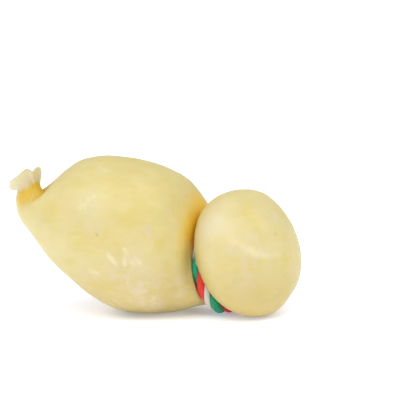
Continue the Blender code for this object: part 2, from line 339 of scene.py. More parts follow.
def raise_lip(centres, waves, points):
    """Lets the nub's lip rise and fall along its axis, and gives each point's angle round the lip."""
    rising = -heading(LIP_TURN, LIP_CLIMB)
    droop = rising.cross(Vector((0, 1, 0))).normalized()
    near = rising.cross(droop)
    away = points - centres[:, None, :]
    angle = np.arctan2(away @ np.array(near), away @ np.array(droop))
    degrees, rises = zip(*LIP_RISE)
    turned = np.degrees(np.abs(angle))
    rise = np.interp(turned, degrees, rises)
    rise -= LIP_FAR_DROP * (angle < 0) * ramp(*FAR_DROP_STARTS, turned) * (1.0 - ramp(*FAR_DROP_ENDS, turned))
    for _ in range(3):
        rise = 0.25 * np.roll(rise, 1, axis=1) + 0.5 * rise + 0.25 * np.roll(rise, -1, axis=1)
    rise += sum(height * np.sin(count * angle + start) for height, count, start in LIP_RIPPLES)
    points += waves[:, None, None] * rise[:, :, None] * np.array(rising)
    return angle


def smoothed(points, weights, rounds):
    """The grid with each point drawn towards its neighbours along the skin, as the weights say."""
    for _ in range(rounds):
        middle = points.copy()
        middle[1:-1] = 0.25 * (points[:-2] + points[2:]) + 0.5 * points[1:-1]
        points = points + weights * (middle - points)
    return points


def nearest(points, path, batch=4096):
    """For each point, its distance from a path, the path's nearest point and that point's number."""
    flat = points.reshape(-1, 3).astype(np.float32)
    line = path.astype(np.float32)
    found = np.empty(len(flat), int)
    for k in range(0, len(flat), batch):
        block = flat[k:k + batch]
        apart = (block ** 2).sum(1)[:, None] - 2 * block @ line.T + (line ** 2).sum(1)
        found[k:k + batch] = apart.argmin(1)
    spots = path[found].reshape(points.shape)
    return np.linalg.norm(points - spots, axis=-1), spots, found.reshape(points.shape[:-1])


def fine_path(route, step=0.4):
    """A route as closely spaced points."""
    points = np.array(route)
    lengths = np.concatenate([[0.0], np.cumsum(np.linalg.norm(np.diff(points, axis=0), axis=1))])
    at = np.linspace(0.0, lengths[-1], int(lengths[-1] / step))
    return np.stack([np.interp(at, lengths, points[:, k]) for k in range(3)], axis=1)


def push_clear(points, path, radius, soft=HOLLOW_SOFT):
    """Pushes the points of the skin out of a round channel along a path, with a soft edge."""
    apart, spots, found = nearest(points, path)
    wanted = radius[found] if isinstance(radius, np.ndarray) else radius
    beyond = (apart - wanted) / soft
    kept = wanted + soft * np.logaddexp(0.0, beyond)
    kept = np.where(beyond > 8.0, apart, kept)  # far from the channel, a point stays just where it is
    away = (points - spots) / np.maximum(apart, 1e-6)[..., None]
    return spots + away * kept[..., None]


def knot_core(count=90):
    """The middle line of the hollow that the knot lies in, and the hollow's radius along it."""
    half = KNOT_HOLLOW * KNOT_LAY
    core = TIE_RADIUS + KNOT_SPREAD
    bends = np.linspace(-1.0, 1.0, count)
    path = np.array([around_neck(KNOT_AT + half * bend / core, core) for bend in bends])
    full = KNOT_SPREAD + CORD_RADIUS + CORD_GAP
    return path, full * np.sqrt(np.clip(1.0 - bends ** 6, 0.0, 1.0))


def lean_on_cord(places, points, soft=0.8):
    """Brings the shoulder up against the cord, on the near side."""
    axis = np.array(heading(TIE_TURN, TIE_CLIMB))
    angle, reach = neck_angle(points)
    along = (points - np.array(TIE_CENTRE)) @ axis
    wall = np.interp(reach, *zip(*SHOULDER_WALL), right=-99.0)
    near = np.exp(-((np.abs(angle - WALL_MIDDLE) / WALL_HALF_WIDTH) ** 4))
    weight = near * stretch(LEANING_SHOULDER, places)[:, None]
    lift = soft * np.logaddexp(0.0, (wall - along) / soft)
    return points + (weight * lift)[..., None] * axis


def press_cord(places, points, first_rounds=30, pressings=6):
    """Presses the cord's groove and the knot's hollow into the neck, and smooths between pressings."""
    band = stretch(GROOVE, places)[:, None, None]
    points = smoothed(points, band, first_rounds)
    points = lean_on_cord(places, points)
    route = fine_path(cord_route())
    core, hollow = knot_core()
    for _ in range(pressings):
        points = push_clear(points, core, hollow)
        points = push_clear(points, route, CORD_RADIUS + CORD_GAP)
        points = smoothed(points, band * 0.6, 2)
    points = push_clear(points, core, hollow)
    return push_clear(points, route, CORD_RADIUS + CORD_GAP, GROOVE_SOFT)


def outward(points):
    """The skin's outward direction at each point of the grid."""
    around = np.roll(points, -1, axis=1) - np.roll(points, 1, axis=1)
    along = np.gradient(points, axis=0)
    square = np.cross(around, along)
    size = np.linalg.norm(square, axis=2, keepdims=True)
    return square / np.maximum(size, 1e-9)


def neck_angle(points):
    """Each point's angle round the neck and its distance from the neck's axis."""
    _, near, up = neck_frame()
    away = points - np.array(TIE_CENTRE)
    beside, above = away @ np.array(near), away @ np.array(up)
    return np.arctan2(above, beside), np.hypot(above, beside)


def gathers(angle, count, unevenness):
    """Rounded folds with sharp valleys round an axis, uneven in width, between -1 and 1."""
    wander = unevenness * (np.sin(3 * angle + 1.0) + 0.6 * np.sin(7 * angle + 2.0) + 0.3 * np.sin(13 * angle))
    size = 0.65 + 0.35 * np.sin(5 * angle + 0.7) * np.sin(2 * angle + 0.3)
    return size * (2.0 * np.abs(np.sin(0.5 * count * angle + wander)) - 1.2)


def build_skin():
    """The skin's grid: its places, its points, their angles round the lip and distances from the cord."""
    places, centres, waves, points = spaced_skin()
    turn = raise_lip(centres, waves, points)
    points = smoothed(points, stretch(NUB_JOINT, places)[:, None, None], 6)
    folds = gathers(turn, *THROAT_PLEATS) * stretch(PLEATED_THROAT, places)[:, None]
    points = points + outward(points) * (FOLD_HEIGHT * folds)[..., None]
    for middle, radius, height in HEAD_SWELLS:
        share = bell(np.linalg.norm(points - np.array(middle), axis=-1), radius)
        share *= ramp(*HEAD_STARTS, places)[:, None]
        points = points + outward(points) * (height * share)[..., None]
    points = press_cord(places, points)
    route = fine_path(cord_route())
    apart, _, _ = nearest(points, route)
    angle, _ = neck_angle(points)
    fade = np.exp(-np.maximum(apart - CORD_RADIUS, 0.0) / GATHERS_REACH)
    fade = fade * ramp(*GATHERS_START, places)[:, None]
    folds = gathers(angle, *CORD_GATHERS)
    points = points + outward(points) * (FOLD_HEIGHT * fade * folds)[..., None]
    points = push_clear(points, route, CORD_RADIUS + CORD_GAP, FINAL_SOFT)
    return places, settle(points), turn, apart


def settle(points, soft=0.35):
    """Flattens what would be below the ground, with a soft edge to the flat spots."""
    height = points[..., 2]
    points[..., 2] = np.where(height > 6 * soft, height, soft * np.logaddexp(0.0, height / soft))
    points[..., 2] -= points[..., 2].min()
    return points


# Soft round patches: middle, radius, strength.
BLOOM_PATCHES = (
    ((-11.0, -36.0, 27.0), 9.0, 1.0),
    ((-17.0, -36.5, 30.0), 5.0, 0.7),
    ((-4.0, -31.0, 19.0), 10.0, 0.8),
    ((-16.0, -25.0, 11.0), 8.0, 0.5),
    ((0.0, -24.0, 10.0), 11.0, 0.8),
    ((11.0, -20.0, 13.0), 9.0, 0.45),
    ((-31.0, -30.0, 25.0), 5.0, 0.8),
    ((20.0, 34.0, 30.0), 9.0, 0.7),
    ((-20.0, 30.0, 50.0), 12.0, 0.6),
    ((-40.0, 15.0, 30.0), 9.0, 0.6),
    ((-8.0, 3.0, 77.0), 10.0, 0.3),
    ((60.0, 8.0, 50.0), 9.0, 0.5),
    ((61.0, -10.0, 52.0), 9.0, 0.8),
    ((44.5, -34.7, 24.7), 7.0, 0.4),
    ((47.0, -32.3, 38.0), 10.0, 0.9),
    ((-1.7, -34.3, 47.6), 4.0, 0.7),
    ((-28.6, -35.4, 49.3), 3.5, 0.6),
)
# Painted light: paler patches on the head's lit left side, at the body's highlight and towards its tail.
PAINTED_LIGHT_PATCHES = (
    ((27.0, -24.0, 48.0), 11.0, 0.9),
    ((30.0, -20.0, 56.0), 10.0, 0.5),
    ((29.0, -27.0, 34.0), 9.0, 0.4),
    ((-30.0, -32.0, 60.0), 8.0, 0.4),
    ((-60.0, -12.0, 50.0), 11.0, 0.3),
    ((-45.0, -20.0, 40.0), 12.0, 0.1),
    ((-24.6, -19.4, 74.5), 7.0, 0.25),
)
# Painted reflected light: gold in the gap between the body's shoulder and the head.
PAINTED_BOUNCE_GOLD_PATCHES = (((26.5, 1.0, 56.0), 6.5, 1.0),)
GLOSSY_PATCHES = (((-32.0, -31.2, 59.5), 5.0, 1.0), ((-28.5, -30.5, 62.5), 3.5, 0.8))
SPECKS = (((-26.5, -36.4, 45.7), 0.55, 0.45), ((59.5, -20.6, 43.3), 0.8, 0.13))
# Pale scrapes in the skin, and painted glints in the body's highlight: from, to, half width, strength.
SCRAPES_AND_GLINTS = (
    ((-21.1, -37.3, 36.1), (-18.0, -37.0, 32.0), 1.0, 1.0),
    ((-13.5, -38.3, 39.1), (-11.7, -38.0, 36.2), 0.9, 0.7),
    ((-13.3, -38.0, 35.6), (-13.3, -37.3, 31.3), 0.9, 0.8),
    ((-8.6, -37.2, 34.6), (-6.0, -36.4, 32.0), 1.3, 0.7),
    ((-10.8, -37.3, 33.6), (-8.8, -36.9, 31.4), 1.0, 0.6),
    ((-6.2, -36.8, 31.0), (-4.6, -36.4, 29.0), 1.0, 0.5),
    ((-30.5, -31.0, 28.0), (-26.9, -32.4, 26.2), 1.2, 0.5),
    ((-29.8, -32.3, 30.6), (-28.8, -32.2, 29.0), 0.9, 0.4),
    # These four are painted glints in the body's highlight.
    ((-34.9, -31.4, 57.5), (-34.0, -31.0, 58.8), 0.9, 0.7),
    ((-30.9, -30.6, 61.5), (-30.3, -30.4, 62.5), 0.9, 0.75),
    ((-28.5, -30.4, 62.6), (-27.9, -30.4, 63.4), 0.9, 0.7),
    ((-33.0, -31.5, 58.3), (-32.4, -31.5, 59.4), 0.9, 0.6),
    ((-26.0, -18.0, 75.2), (-22.5, -20.0, 74.3), 1.0, 0.3),
    ((37.5, -31.8, 42.8), (43.4, -32.5, 39.3), 1.9, 0.35),
    ((43.4, -32.5, 39.3), (48.8, -31.9, 36.2), 2.2, 0.6),
    ((48.8, -31.9, 36.2), (56.0, -28.3, 34.3), 1.9, 0.6),
    ((56.0, -28.3, 34.3), (60.8, -24.1, 34.2), 1.6, 0.4),
    ((10.0, 36.5, 42.0), (14.0, 35.0, 38.0), 1.2, 0.5),
    ((-20.0, 35.5, 50.0), (-14.0, 36.5, 47.0), 1.1, 0.5),
    ((48.0, 24.0, 40.0), (55.0, 19.0, 36.0), 1.3, 0.5),
)


def head_gap(points):
    """How far each point of the skin is from the head's flattened ball, in millimetres."""
    away = points - np.array(HEAD_CENTRE)
    along = away @ np.array(heading(HEAD_TURN, HEAD_CLIMB))
    beside = np.sqrt(np.maximum((away ** 2).sum(-1) - along ** 2, 0.0))
    share = np.hypot(along / HEAD_HALF_THICKNESS, beside / HEAD_RADIUS)
    return np.maximum(share - 1.0, 0.0) * 0.5 * (HEAD_HALF_THICKNESS + HEAD_RADIUS)


def patches(points, table):
    """The soft patches of a table, over the skin."""
    total = np.zeros(points.shape[:-1])
    for middle, radius, strength in table:
        apart = np.linalg.norm(points - np.array(middle), axis=-1)
        total = np.maximum(total, strength * bell(apart, radius))
    return total


def scrapes(points, table):
    """The straight soft marks of a table, over the skin."""
    total = np.zeros(points.shape[:-1])
    for start, end, width, strength in table:
        line = np.array(end) - np.array(start)
        share = np.clip((points - np.array(start)) @ line / (line @ line), 0.0, 1.0)
        apart = np.linalg.norm(points - np.array(start) - share[..., None] * line, axis=-1)
        total = np.maximum(total, strength * bell(apart, width))
    return total


def put(name, data):
    """A new object in the scene."""
    made = bpy.data.objects.new(name, data)
    bpy.context.scene.collection.objects.link(made)
    return made


def grid_piece(name, points, masks):
    """A closed piece over the grid, whose first and last rings are poles, with its masks."""
    inner = points[1:-1]
    rings, sides = inner.shape[:2]
    ends = np.array([points[0].mean(axis=0), points[-1].mean(axis=0)])
    places = (np.concatenate([inner.reshape(-1, 3), ends]) - (MIDDLE_X, 0.0, 0.0)) * MM
    at = np.arange(rings * sides).reshape(rings, sides)
    after = np.roll(at, -1, axis=1)
    quads = np.stack([at[:-1], after[:-1], after[1:], at[1:]], axis=-1).reshape(-1, 4)
    start, end = rings * sides, rings * sides + 1
    fans = [(start, b, a) for a, b in zip(at[0], after[0])]
    fans += [(end, a, b) for a, b in zip(at[-1], after[-1])]
    faces = [tuple(quad) for quad in quads.tolist()] + [tuple(int(v) for v in fan) for fan in fans]
    mesh = bpy.data.meshes.new(name)
    mesh.from_pydata(places.tolist(), [], faces)
    for key, share in masks.items():
        values = np.concatenate([share[1:-1].ravel(), [share[0].mean(), share[-1].mean()]])
        mesh.attributes.new(key, "FLOAT", "POINT").data.foreach_set("value", values.astype(np.float32))
    mesh.validate()
    mesh.shade_smooth()
    return put(name, mesh)


# ---- node trees

def feed(tree, node, inputs):
    """Gives a node its inputs, as values or as sockets to join."""
    for key, value in inputs.items():
        if isinstance(value, bpy.types.NodeSocket):
            tree.links.new(value, node.inputs[key])
        else:
            node.inputs[key].default_value = value


def add(tree, kind, inputs=None, **settings):
    """A new node with its settings and its inputs."""
    made = tree.nodes.new(kind)
    for key, value in settings.items():
        setattr(made, key, value)
    feed(tree, made, inputs or {})
    return made


def out(tree, kind, inputs=None, **settings):
    """The first output of a new node."""
    return add(tree, kind, inputs, **settings).outputs[0]


def maths(tree, operation, *values):
    """The result of a Math node."""
    return out(tree, "ShaderNodeMath", dict(enumerate(values)), operation=operation)


def times(tree, one, two):
    """One value times another."""
    return maths(tree, "MULTIPLY", one, two)


def plus(tree, one, two):
    """One value plus another."""
    return maths(tree, "ADD", one, two)


def vectors(tree, operation, *values):
    """The vector that a Vector Math node gives."""
    return out(tree, "ShaderNodeVectorMath", dict(enumerate(values)), operation=operation)


def scaled(tree, vector, factor):
    """A vector made longer or shorter."""
    return out(tree, "ShaderNodeVectorMath", {0: vector, "Scale": factor}, operation="SCALE")


def blended(tree, factor, one, two):
    """One colour going over into another."""
    return add(tree, "ShaderNodeMix", {0: factor, 6: one, 7: two}, data_type="RGBA").outputs[2]


def spread(tree, value, low, high, floor=0.0, top=1.0):
    """A value spread smoothly between two limits."""
    return out(tree, "ShaderNodeMapRange", {0: value, 1: low, 2: high, 3: floor, 4: top},
               interpolation_type="SMOOTHSTEP")


def noise(tree, vector, scale, detail=3.0, distortion=0.0, harshness=0.5):
    """The grey noise at a scale, in waves to the metre."""
    made = add(tree, "ShaderNodeTexNoise", {"Vector": vector, "Scale": scale, "Detail": detail,
                                            "Roughness": harshness, "Distortion": distortion})
    return made.outputs["Fac"]


def colour(red, green, blue):
    """A colour given in the everyday 0 to 255 scale, as the shader wants it."""
    linear = []
    for value in (red, green, blue):
        share = value / 255
        linear.append(share / 12.92 if share <= 0.04045 else ((share + 0.055) / 1.055) ** 2.4)
    return (*linear, 1.0)


def new_material(name):
    """A material, its tree, its Principled shader and its object coordinates."""
    made = bpy.data.materials.new(name)
    made.use_nodes = True
    tree = made.node_tree
    place = add(tree, "ShaderNodeTexCoord").outputs["Object"]
    return made, tree, tree.nodes["Principled BSDF"], place


def mask(tree, name):
    """A mask that the piece carries as an attribute."""
    return add(tree, "ShaderNodeAttribute", attribute_name=name).outputs["Fac"]


# How fine the skin's patterns are, in waves to the metre.
SLOW_WAVES, BLOOM_WAVES, FINE_WAVES = 75.0, 170.0, 300.0
PIMPLE_WAVES, WRINKLE_WAVES, GRAIN_WAVES = 700.0, 800.0, 1500.0
# How high its pimples, its wrinkles and its grain stand, as shares of the fine pattern's height.
PIMPLES_RISE, WRINKLES_RISE, GRAIN_RISE = 1.8, 6.0, 0.25
# The skin's colours, in the everyday 0 to 255 scale.
STRAW, DEEP_STRAW, PALE_STRAW = (219, 204, 143), (216, 200, 125), (230, 215, 156)
BLOOM, SCRAPE_AND_GLINT, SPECK = (219, 204, 178), (236, 224, 184), (120, 100, 60)
# The colours that its masks bring in, each over the one before. Most paint light and shade: bounce gold on
# the shoulder and in the throat, shade beside the cord and underneath, shade in the crease and on the lip's
# edge;
# the pale layer is the lip's own paleness with painted light on lit patches.
SKIN_LAYERS = (
    ("painted_bounce_gold", (244, 200, 40)),
    ("throat", (214, 178, 4)),
    ("painted_shade", (188, 164, 88)),
    ("painted_crease_shade", (224, 134, 28)),
    ("pale", (224, 215, 182)),
    ("rim", (190, 180, 146)),
)


def cheese_material():
    """Waxy straw-yellow skin, pale at the lip, with a whitish bloom, painted golden light and shade in its
    hollows.
    """
    made, tree, shader, place = new_material("cheese_skin")
    slow = noise(tree, place, SLOW_WAVES)
    drawn_out = vectors(tree, "MULTIPLY", place, (0.4, 0.4, 1.0))
    fine = noise(tree, drawn_out, FINE_WAVES, 4.0)
    grain = noise(tree, place, GRAIN_WAVES)
    base = blended(tree, spread(tree, slow, 0.35, 0.65), colour(*STRAW), colour(*DEEP_STRAW))
    threads = times(tree, spread(tree, fine, 0.4, 0.75), 0.25)
    base = blended(tree, threads, base, colour(*PALE_STRAW))
    for name, tint in SKIN_LAYERS:
        base = blended(tree, mask(tree, name), base, colour(*tint))
    blotch = spread(tree, noise(tree, place, BLOOM_WAVES, 5.0, 0.4, 0.62), 0.38, 0.64)
    film = times(tree, mask(tree, "bloom"), plus(tree, times(tree, blotch, 0.8), 0.15))
    base = blended(tree, film, base, colour(*BLOOM))
    # Pale scrapes, and painted glints in the body's highlight.
    scrape_and_glint = times(tree, mask(tree, "scrape_and_glint"), spread(tree, fine, 0.35, 0.55, 0.5, 1.0))
    base = blended(tree, times(tree, scrape_and_glint, 0.8), base, colour(*SCRAPE_AND_GLINT))
    base = blended(tree, mask(tree, "speck"), base, colour(*SPECK))
    rough = plus(tree, times(tree, fine, 0.12), 0.38)
    rough = plus(tree, rough, times(tree, film, 0.3))
    rough = maths(tree, "SUBTRACT", rough, times(tree, mask(tree, "glossy"), 0.14))
    pimples = spread(tree, noise(tree, place, PIMPLE_WAVES, 1.0), 0.5, 0.7)
    pimples = times(tree, mask(tree, "glossy"), pimples)
    upright = vectors(tree, "MULTIPLY", place, (1.0, 1.0, 0.4))
    wrinkles = times(tree, mask(tree, "wrinkled"), noise(tree, upright, WRINKLE_WAVES, 2.0))
    height = fine
    for relief, share in ((grain, GRAIN_RISE), (pimples, PIMPLES_RISE), (wrinkles, WRINKLES_RISE)):
        height = plus(tree, height, times(tree, relief, share))
    bump = out(tree, "ShaderNodeBump", {"Strength": 0.25, "Distance": 0.0004, "Height": height})
    feed(tree, shader, {"Base Color": base, "Roughness": rough, "Normal": bump, "Subsurface Weight": 0.6,
                        "Subsurface Radius": (1.0, 0.65, 0.3), "Subsurface Scale": 0.008})
    return made


def fibre_group():
    """Node group: the fine threads of a spun strand, as a mask of painted light and shade and a height."""
    tree = bpy.data.node_groups.new("spun_threads", "ShaderNodeTree")
    for name, value in (("Threads", 36.0), ("Slope", 62.5), ("Evenness", 160.0), ("Softness", 0.35)):
        socket = tree.interface.new_socket(name, in_out="INPUT", socket_type="NodeSocketFloat")
        socket.default_value = value
    tree.interface.new_socket("Shade", in_out="OUTPUT", socket_type="NodeSocketFloat")
    tree.interface.new_socket("Height", in_out="OUTPUT", socket_type="NodeSocketFloat")
    given = add(tree, "NodeGroupInput").outputs
    run, turn = mask(tree, "run"), mask(tree, "turn")
    slant = plus(tree, turn, times(tree, run, given["Slope"]))
    flow = out(tree, "ShaderNodeCombineXYZ", {
        0: times(tree, slant, given["Threads"]), 1: times(tree, run, given["Evenness"])})
    streak = noise(tree, flow, 1.0)
    shade = spread(tree, streak, 0.3, 0.7, given["Softness"], 1.0)
    add(tree, "NodeGroupOutput", {"Shade": shade, "Height": streak})
    return tree


def strand_material(name, group, light, shaded):
    """Soft spun yarn of one colour, with painted shade between its threads."""
    made, tree, shader, _ = new_material(name)
    threads = add(tree, "ShaderNodeGroup", node_tree=group)
    base = blended(tree, threads.outputs["Shade"], shaded, light)
    height = threads.outputs["Height"]
    bump = out(tree, "ShaderNodeBump", {"Strength": 0.4, "Distance": 0.0001, "Height": height})
    feed(tree, shader, {"Base Color": base, "Roughness": 0.75, "Normal": bump, "Sheen Weight": 0.1,
                        "Sheen Roughness": 0.5})
    return made


def set_inputs(modifier, values):
    """Sets a Geometry Nodes modifier's inputs, given by name, through their identifiers."""
    for item in modifier.node_group.interface.items_tree:
        if item.item_type == "SOCKET" and item.in_out == "INPUT" and item.name in values:
            modifier[item.identifier] = values[item.name]


SOCKET_KINDS = {float: "NodeSocketFloat", int: "NodeSocketInt", type(None): "NodeSocketMaterial"}


def geometry_tree(name, sockets):
    """An empty Geometry Nodes tree with named inputs, and the sockets that it starts from."""
    tree = bpy.data.node_groups.new(name, "GeometryNodeTree")
    tree.interface.new_socket("Geometry", in_out="INPUT", socket_type="NodeSocketGeometry")
    tree.interface.new_socket("Geometry", in_out="OUTPUT", socket_type="NodeSocketGeometry")
    for label, value in sockets:
        kind = SOCKET_KINDS[type(value)]
        socket = tree.interface.new_socket(label, in_out="INPUT", socket_type=kind)
        if value is not None:
            socket.default_value = value
    return tree, add(tree, "NodeGroupInput").outputs


def baked(piece, tree, values, name):
    """The plain mesh that a Geometry Nodes tree makes of a piece, as a new piece in its stead."""
    modifier = piece.modifiers.new(tree.name, "NODES")
    modifier.node_group = tree
    set_inputs(modifier, values)
    graph = bpy.context.evaluated_depsgraph_get()
    graph.update()
    mesh = bpy.data.meshes.new_from_object(piece.evaluated_get(graph), preserve_all_data_layers=True,
                                           depsgraph=graph)
    piece.modifiers.remove(modifier)
    bpy.data.objects.remove(piece)
    mesh.name = name
    return put(name, mesh)


def stored(tree, name, kind="FLOAT"):
    """What a named attribute of the geometry holds."""
    return out(tree, "GeometryNodeInputNamedAttribute", {"Name": name}, data_type=kind)


def store(tree, line, name, value, kind="FLOAT"):
    """The geometry with a value kept on its points as a named attribute."""
    return out(tree, "GeometryNodeStoreNamedAttribute", {"Geometry": line, "Name": name, "Value": value},
               data_type=kind, domain="POINT")


def finished(tree, geometry, material):
    """The tree, ended: what it has made is real geometry with its material."""
    real = out(tree, "GeometryNodeRealizeInstances", {"Geometry": geometry})
    painted = out(tree, "GeometryNodeSetMaterial", {"Geometry": real, "Material": material})
    add(tree, "NodeGroupOutput", {"Geometry": painted})
    return tree


def swell_tree():
    """Geometry Nodes: slow swells and small dimples over a skin, where its relief mask lets them."""
    tree, given = geometry_tree("skin_relief", (
        ("Swell Height", 0.0002), ("Swell Scale", 50.0), ("Dimple Depth", 0.0001), ("Dimple Scale", 220.0),
        ("Seed", 4.0), ("Material", None)))
    place = out(tree, "GeometryNodeInputPosition")
    relief = stored(tree, "relief")
    total = None
    for height, scale in (("Swell Height", "Swell Scale"), ("Dimple Depth", "Dimple Scale")):
        wave = add(tree, "ShaderNodeTexNoise", {"Vector": place, "W": given["Seed"], "Scale": given[scale],
                                                "Detail": 2.0}, noise_dimensions="4D").outputs["Fac"]
        part = times(tree, maths(tree, "SUBTRACT", wave, 0.5), given[height])
        total = part if total is None else plus(tree, total, part)
    total = times(tree, times(tree, total, 4.0), relief)
    shift = scaled(tree, add(tree, "GeometryNodeInputNormal").outputs["Normal"], total)
    moved = out(tree, "GeometryNodeSetPosition", {"Geometry": given["Geometry"], "Offset": shift})
    return finished(tree, moved, given["Material"])


def frayed_ends(tree, line, given):
    """Short loose fibres that stand out of both cut ends of a strand's line."""
    ends = out(tree, "GeometryNodeCurveEndpointSelection", {"Start Size": 1, "End Size": 1})
    along = add(tree, "GeometryNodeSplineParameter").outputs["Factor"]
    away = maths(tree, "SUBTRACT", times(tree, along, 2.0), 1.0)
    away = scaled(tree, out(tree, "GeometryNodeInputTangent"), away)
    line = store(tree, line, "away", away, "FLOAT_VECTOR")
    kept = stored(tree, "away", "FLOAT_VECTOR")
    faced = out(tree, "FunctionNodeAlignRotationToVector", {"Vector": kept}, axis="Z")
    disc = out(tree, "GeometryNodeMeshCircle", {"Vertices": 16, "Radius": given["Strand Depth"]},
               fill_type="NGON")
    discs = out(tree, "GeometryNodeInstanceOnPoints", {
        "Points": line, "Selection": ends, "Instance": disc, "Rotation": faced})
    discs = out(tree, "GeometryNodeRealizeInstances", {"Geometry": discs})
    spots = out(tree, "GeometryNodeDistributePointsOnFaces", {
        "Mesh": discs, "Density": given["Fibre Density"], "Seed": given["Fibre Seed"]})
    reach = given["Fibre Length"]
    tip = out(tree, "ShaderNodeCombineXYZ", {0: times(tree, reach, FIBRE_BEND), 2: reach})
    knee = out(tree, "ShaderNodeCombineXYZ", {2: times(tree, reach, FIBRE_KNEE)})
    fibre = out(tree, "GeometryNodeCurveQuadraticBezier", {
        "Resolution": 5, "Start": (0.0, 0.0, 0.0), "Middle": knee, "End": tip})
    rim = out(tree, "GeometryNodeCurvePrimitiveCircle", {"Resolution": 3, "Radius": given["Fibre Radius"]})
    fibre = out(tree, "GeometryNodeCurveToMesh", {"Curve": fibre, "Profile Curve": rim, "Fill Caps": True})
    swung = out(tree, "FunctionNodeRandomValue", {
        0: FIBRE_SWING[0], 1: FIBRE_SWING[1], "Seed": given["Fibre Seed"]}, data_type="FLOAT_VECTOR")
    facing = out(tree, "FunctionNodeRotateRotation", {0: faced, 1: swung}, rotation_space="LOCAL")
    size = add(tree, "FunctionNodeRandomValue", {
        2: FIBRE_SIZES[0], 3: FIBRE_SIZES[1], "Seed": given["Fibre Seed"]}, data_type="FLOAT").outputs[1]
    return out(tree, "GeometryNodeInstanceOnPoints", {
        "Points": spots, "Instance": fibre, "Rotation": facing, "Scale": size})


def strand_tree():
    """Geometry Nodes: one strand laid round a cord's middle line, with its threads standing out."""
    tree, given = geometry_tree("laid_strand", (
        ("Lay", 0.027), ("Start", 0.0), ("Offset", 0.00175), ("Strand Depth", 0.00162),
        ("Strand Width", 0.0018), ("Threads", 11.0), ("Thread Height", 0.00008), ("Thread Lay", 0.016),
        ("Sides", 66), ("Step", 0.0005), ("Fibre Density", 4.0e6), ("Fibre Length", 0.0022),
        ("Fibre Radius", 0.00007), ("Fibre Seed", 3), ("Material", None)))
    line = out(tree, "GeometryNodeMeshToCurve", {"Mesh": given["Geometry"]})
    line = out(tree, "GeometryNodeResampleCurve", {"Curve": line, "Length": given["Step"]}, mode="LENGTH")
    length = add(tree, "GeometryNodeSplineParameter").outputs["Length"]
    line = store(tree, line, "run", length)
    turned = maths(tree, "DIVIDE", length, given["Lay"])
    turned = plus(tree, times(tree, turned, 2 * math.pi), given["Start"])
    tangent = out(tree, "GeometryNodeInputTangent")
    normal = add(tree, "GeometryNodeInputNormal").outputs["Normal"]
    binormal = vectors(tree, "CROSS_PRODUCT", tangent, normal)
    across = vectors(tree, "ADD", scaled(tree, normal, maths(tree, "COSINE", turned)),
                     scaled(tree, binormal, maths(tree, "SINE", turned)))
    line = store(tree, line, "across", across, "FLOAT_VECTOR")
    kept = stored(tree, "across", "FLOAT_VECTOR")
    line = out(tree, "GeometryNodeSetPosition", {
        "Geometry": line, "Offset": scaled(tree, kept, given["Offset"])})
    line = out(tree, "GeometryNodeSetCurveNormal", {"Curve": line, "Normal": kept}, mode="FREE")
    tufts = frayed_ends(tree, line, given)
    ring = out(tree, "GeometryNodeCurvePrimitiveCircle", {"Resolution": given["Sides"], "Radius": 1.0})
    ring = store(tree, ring, "turn", add(tree, "GeometryNodeSplineParameter").outputs["Factor"])
    squash = out(tree, "ShaderNodeCombineXYZ", {0: given["Strand Depth"], 1: given["Strand Width"], 2: 1.0})
    ring = out(tree, "GeometryNodeTransform", {"Geometry": ring, "Scale": squash})
    tube = out(tree, "GeometryNodeCurveToMesh", {"Curve": line, "Profile Curve": ring, "Fill Caps": True})
    slant = plus(tree, stored(tree, "turn"), maths(tree, "DIVIDE", stored(tree, "run"), given["Thread Lay"]))
    slant = times(tree, slant, given["Threads"])
    lobes = maths(tree, "ABSOLUTE", maths(tree, "SINE", times(tree, slant, math.pi)))
    lift = times(tree, maths(tree, "SUBTRACT", lobes, 0.7), given["Thread Height"])
    shift = scaled(tree, add(tree, "GeometryNodeInputNormal").outputs["Normal"], lift)
    tube = out(tree, "GeometryNodeSetPosition", {"Geometry": tube, "Offset": shift})
    tube = out(tree, "GeometryNodeSetShadeSmooth", {"Geometry": tube})
    whole = add(tree, "GeometryNodeJoinGeometry")
    tree.links.new(tube, whole.inputs[0])
    tree.links.new(tufts, whole.inputs[0])
    return finished(tree, whole.outputs[0], given["Material"])


# ---- the pieces

# Heights over which the skin's tints, most of them painted bounce light and painted shade, come in or go, in
# millimetres, and how far from the head or from the cord they reach.
GOLD_RISES, CREASE_RISES, CREASE_PALES = (24.0, 44.0), (18.0, 36.0), (36.0, 46.0)
GROOVE_SHADE_GOES, LOW_SHADE_GOES, UNDERSIDE_GOES = (28.0, 42.0), (4.0, 40.0), (1.0, 9.0)
GOLD_REACH, CREASE_REACH, WRINKLES_REACH, GROOVE_SHADE_REACH = 7.0, 1.9, 12.0, 8.0
# How strong the painted shade is beside the cord, towards the bottom and just over the ground.
GROOVE_SHADE, LOW_SHADE, UNDERSIDE_SHADE = 0.8, 0.55, 0.75
CLEAR_OF_CORD, CLEAR_OF_GROUND = (4.0, 9.0), (0.3, 3.0)  # where the relief comes in
# How strong the painted shade in the crease by the head is, and how much of it goes higher up.
CREASE_STRENGTH, CREASE_LOSS = 0.6, 0.35
# Away from its drooping corner the lip ends sooner: by how many places, and from where, in radians. The
# throat's painted bounce gold fades towards that corner, by the cosine of the angle from it.
LIP_SHIFT, LIP_SHIFT_STARTS, CORNER_FADES = 0.6, (1.6, 2.4), (0.5, 0.95)


